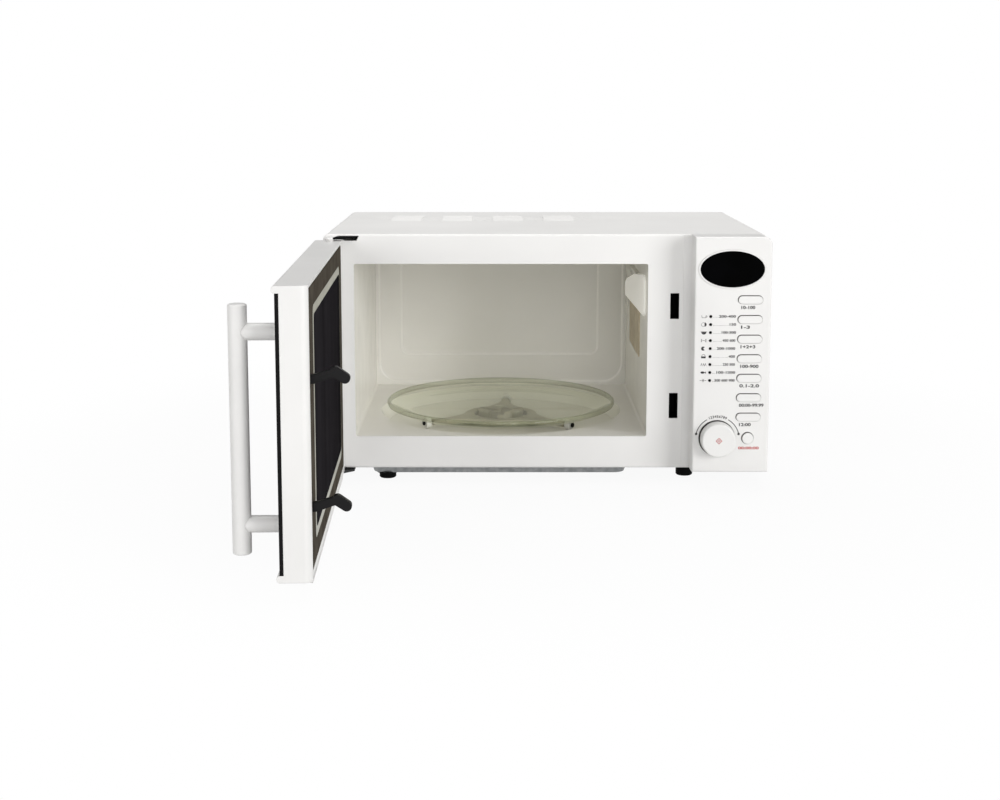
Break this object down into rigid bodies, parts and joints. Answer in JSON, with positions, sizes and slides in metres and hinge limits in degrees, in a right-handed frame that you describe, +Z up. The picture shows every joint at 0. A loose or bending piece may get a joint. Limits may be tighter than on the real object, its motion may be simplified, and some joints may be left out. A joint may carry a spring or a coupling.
{
  "type": "microwave oven",
  "caption": "Counter-top microwave oven with a side-hinged door standing open, a bar handle, a glass turntable and an upright panel with keys and a dial.",
  "frame": {"origin": "point on the table under the middle of the oven body, between its feet", "axes": "+Z up, -Y out of the front, +X towards the control panel"},
  "size_m": [0.4881, 0.674, 0.2603],
  "materials": {
    "white_enamel": "satin white enamel",
    "cavity_enamel": "cream-grey enamel",
    "zinc_steel": "zinc-coated sheet",
    "white_plastic": "smooth white moulding",
    "black_rubber": "matt black rubber",
    "black_steel": "black coated steel",
    "black_plastic": "black nylon",
    "display_black": "gloss black lens",
    "light_black": "dark indicator lens",
    "board_green": "circuit board",
    "white_nylon": "white nylon",
    "grey_plastic": "grey plastic",
    "copper_winding": "varnished copper wire",
    "can_aluminium": "drawn aluminium",
    "mica": "mica sheet",
    "tray_glass": "clear glass with a green edge",
    "heater_sheath": "heat-darkened sheath",
    "black_glass": "black glass",
    "black_pane": "gloss black pane",
    "seal_grey": "light grey enamel",
    "choke_brown": "dark brown-grey plastic"
  },
  "bodies": {
    "chassis": {"outer_wrapper": "white_enamel", "front_frame": "white_enamel", "upper_hinge": "white_enamel", "cavity_wrap": "cavity_enamel", "cavity_back": "cavity_enamel", "cavity_floor": "cavity_enamel", "base_plate": "zinc_steel", "back_panel": "zinc_steel", "waveguide": "zinc_steel", "magnetron": "zinc_steel", "capacitor_clamp": "zinc_steel", "fan_motor": "zinc_steel", "turntable_motor": "zinc_steel", "transformer_core": "zinc_steel", "cover_screws": "zinc_steel", "encoder_housing": "zinc_steel", "control_panel": "white_plastic", "feet": "black_rubber", "cord_inlet": "black_rubber", "lower_hinge": "black_steel", "latch_body": "black_plastic", "interlock_switches": "black_plastic", "display_window": "display_black", "indicator_lights": "light_black", "control_board": "board_green", "filter_board": "board_green", "fan_shroud": "grey_plastic", "cavity_lamp": "grey_plastic", "transformer_windings": "copper_winding", "capacitor": "can_aluminium", "waveguide_cover": "mica", "grill_element": "heater_sheath"},
    "door": {"door_frame": "white_plastic", "door_glass": "black_glass", "door_screen": "seal_grey", "choke_cover": "choke_brown", "window_pane": "black_pane", "handle_bar": "white_plastic", "handle_posts": "white_plastic", "handle_screws": "zinc_steel", "latch_spring": "zinc_steel"},
    "latch": {"latch_hook": "black_plastic"},
    "turntable": {"glass_tray": "tray_glass", "turntable_coupler": "white_nylon"},
    "roller_carrier": {"roller_spider": "grey_plastic"},
    "roller_1": {"roller_1": "white_nylon"},
    "roller_2": {"roller_2": "white_nylon"},
    "roller_3": {"roller_3": "white_nylon"},
    "fan": {"fan_blade": "grey_plastic"},
    "dial_rotor": {"encoder_rotor": "white_nylon"},
    "dial": {"dial_knob": "white_plastic", "dial_shaft": "zinc_steel"},
    "power_key": {"power_key": "white_plastic"},
    "grill_key": {"grill_key": "white_plastic"},
    "combi_key": {"combi_key": "white_plastic"},
    "weight_key": {"weight_key": "white_plastic"},
    "defrost_key": {"defrost_key": "white_plastic"},
    "timer_key": {"timer_key": "white_plastic"},
    "clock_key": {"clock_key": "white_plastic"},
    "stop_key": {"stop_key": "white_plastic"}
  },
  "joints": [
    {"name": "door_swing", "type": "hinge", "parent": "chassis", "child": "door", "pos_m": [-0.217, -0.159, 0.134], "axis": [0, 0, -1], "range_deg": [-88.2, 12]},
    {"name": "latch_lift", "type": "slide", "parent": "door", "child": "latch", "axis": [0, 0, 1], "range_m": [0, 0.004], "stiffness_N_per_m": 400, "springref_m": -0.01, "deforming": ["latch_spring"]},
    {"name": "turntable_spin", "type": "hinge", "parent": "chassis", "child": "turntable", "pos_m": [-0.045, -0.004, 0.05], "axis": [0, 0, 1], "continuous": true},
    {"name": "spider_spin", "type": "hinge", "parent": "chassis", "child": "roller_carrier", "pos_m": [-0.045, -0.004, 0.0408], "axis": [0, 0, 1], "continuous": true},
    {"name": "roller_1_spin", "type": "hinge", "parent": "roller_carrier", "child": "roller_1", "pos_m": [-0.03872, 0.08578, 0.0408], "axis": [0.0698, 0.9976, 0], "continuous": true},
    {"name": "roller_2_spin", "type": "hinge", "parent": "roller_carrier", "child": "roller_2", "pos_m": [-0.12589, -0.04345, 0.0408], "axis": [-0.8988, -0.4384, 0], "continuous": true},
    {"name": "roller_3_spin", "type": "hinge", "parent": "roller_carrier", "child": "roller_3", "pos_m": [0.02961, -0.05433, 0.0408], "axis": [0.829, -0.5592, 0], "continuous": true},
    {"name": "fan_spin", "type": "hinge", "parent": "chassis", "child": "fan", "pos_m": [0.166, 0.12, 0.1875], "axis": [0, -1, 0], "continuous": true},
    {"name": "dial_turn", "type": "hinge", "parent": "chassis", "child": "dial_rotor", "pos_m": [0.1742, -0.167, 0.0535], "axis": [0, -1, 0], "continuous": true},
    {"name": "dial_press", "type": "slide", "parent": "dial_rotor", "child": "dial", "axis": [0, 1, 0], "range_m": [0, 0.001], "stiffness_N_per_m": 1500, "springref_m": -0.0005},
    {"name": "power_key_press", "type": "slide", "parent": "chassis", "child": "power_key", "axis": [0, 1, 0], "range_m": [0, 0.001], "stiffness_N_per_m": 1500, "springref_m": -0.0005},
    {"name": "grill_key_press", "type": "slide", "parent": "chassis", "child": "grill_key", "axis": [0, 1, 0], "range_m": [0, 0.001], "stiffness_N_per_m": 1500, "springref_m": -0.0005},
    {"name": "combi_key_press", "type": "slide", "parent": "chassis", "child": "combi_key", "axis": [0, 1, 0], "range_m": [0, 0.001], "stiffness_N_per_m": 1500, "springref_m": -0.0005},
    {"name": "weight_key_press", "type": "slide", "parent": "chassis", "child": "weight_key", "axis": [0, 1, 0], "range_m": [0, 0.001], "stiffness_N_per_m": 1500, "springref_m": -0.0005},
    {"name": "defrost_key_press", "type": "slide", "parent": "chassis", "child": "defrost_key", "axis": [0, 1, 0], "range_m": [0, 0.001], "stiffness_N_per_m": 1500, "springref_m": -0.0005},
    {"name": "timer_key_press", "type": "slide", "parent": "chassis", "child": "timer_key", "axis": [0, 1, 0], "range_m": [0, 0.001], "stiffness_N_per_m": 1500, "springref_m": -0.0005},
    {"name": "clock_key_press", "type": "slide", "parent": "chassis", "child": "clock_key", "axis": [0, 1, 0], "range_m": [0, 0.001], "stiffness_N_per_m": 1500, "springref_m": -0.0005},
    {"name": "stop_key_press", "type": "slide", "parent": "chassis", "child": "stop_key", "axis": [0, 1, 0], "range_m": [0, 0.001], "stiffness_N_per_m": 1500, "springref_m": -0.0005}
  ],
  "couplings": [
    {"joint": "spider_spin", "follows": "turntable_spin", "ratio": 0.5},
    {"joint": "roller_1_spin", "follows": "turntable_spin", "ratio": -7.5},
    {"joint": "roller_2_spin", "follows": "turntable_spin", "ratio": -7.5},
    {"joint": "roller_3_spin", "follows": "turntable_spin", "ratio": -7.5}
  ]
}
